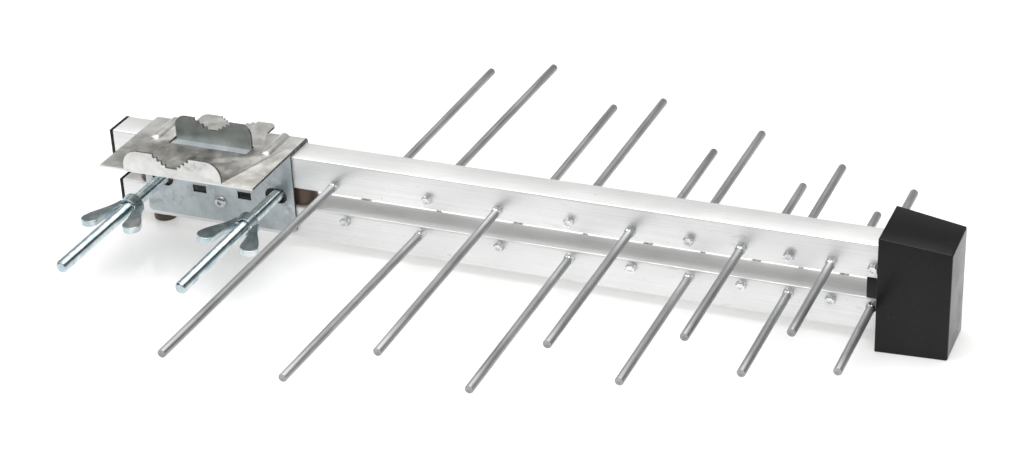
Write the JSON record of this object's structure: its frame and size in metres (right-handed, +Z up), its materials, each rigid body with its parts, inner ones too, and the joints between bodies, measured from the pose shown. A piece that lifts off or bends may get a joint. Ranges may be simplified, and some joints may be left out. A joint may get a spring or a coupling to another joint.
{
  "type": "log-periodic dipole antenna",
  "caption": "Two-boom log-periodic antenna: crossed rod dipoles on square tubes, a front cap and a mast clamp with a U-bolt and wing nuts.",
  "frame": {"origin": "on the surface that the antenna rests on, under the middle of its box", "axes": "+X along the booms from the mast clamp to the front cap, +Z up, -Y towards the clamp's overhanging side"},
  "size_m": [0.4026, 0.329, 0.0604],
  "materials": {
    "boom_aluminium": "satin extruded",
    "rod_aluminium": "satin drawn",
    "galvanised_plate": "mottled galvanised",
    "galvanised_bracket": "mottled galvanised",
    "zinc": "bright zinc plated",
    "rivet_metal": "satin",
    "black_plastic": "moulded satin",
    "brown_plastic": "moulded satin",
    "brass": "plated",
    "cable_black": "sheath",
    "copper": "bare wire"
  },
  "bodies": {
    "antenna": {"upper_boom": "boom_aluminium", "lower_boom": "boom_aluminium", "upper_end_plug": "black_plastic", "lower_end_plug": "black_plastic", "front_cap": "black_plastic", "front_spacer": "black_plastic", "middle_spacer": "brown_plastic", "rear_spacer": "brown_plastic", "clamp_plate": "galvanised_plate", "clamp_bracket": "galvanised_bracket", "bracket_rivets": "rivet_metal", "connector_socket": "brass", "connector_nut": "zinc", "connector_cap": "brown_plastic", "coax_cable": "cable_black", "coax_core": "copper", "feed_tag": "rivet_metal", "feed_screws": "zinc", "rod_01_near": "rod_aluminium", "rod_01_far": "rod_aluminium", "rod_02_near": "rod_aluminium", "rod_02_far": "rod_aluminium", "rod_03_near": "rod_aluminium", "rod_03_far": "rod_aluminium", "rod_04_near": "rod_aluminium", "rod_04_far": "rod_aluminium", "rod_05_near": "rod_aluminium", "rod_05_far": "rod_aluminium", "rod_06_near": "rod_aluminium", "rod_06_far": "rod_aluminium", "rod_07_near": "rod_aluminium", "rod_07_far": "rod_aluminium", "rod_08_near": "rod_aluminium", "rod_08_far": "rod_aluminium", "rod_09_near": "rod_aluminium", "rod_09_far": "rod_aluminium", "rod_10_near": "rod_aluminium", "rod_10_far": "rod_aluminium"},
    "u_bolt": {"u_bolt": "zinc"},
    "left_nut": {"wing_nut_left": "zinc"},
    "right_nut": {"wing_nut_right": "zinc"}
  },
  "joints": [
    {"name": "u_bolt_slide", "type": "slide", "parent": "antenna", "child": "u_bolt", "axis": [0, 1, 0], "range_m": [0, 0.0264]},
    {"name": "left_nut_turn", "type": "hinge", "parent": "u_bolt", "child": "left_nut", "pos_m": [-0.17451, -0.036, 0.0262], "axis": [0, 1, 0], "continuous": true},
    {"name": "right_nut_turn", "type": "hinge", "parent": "u_bolt", "child": "right_nut", "pos_m": [-0.11451, -0.036, 0.0262], "axis": [0, 1, 0], "continuous": true}
  ]
}
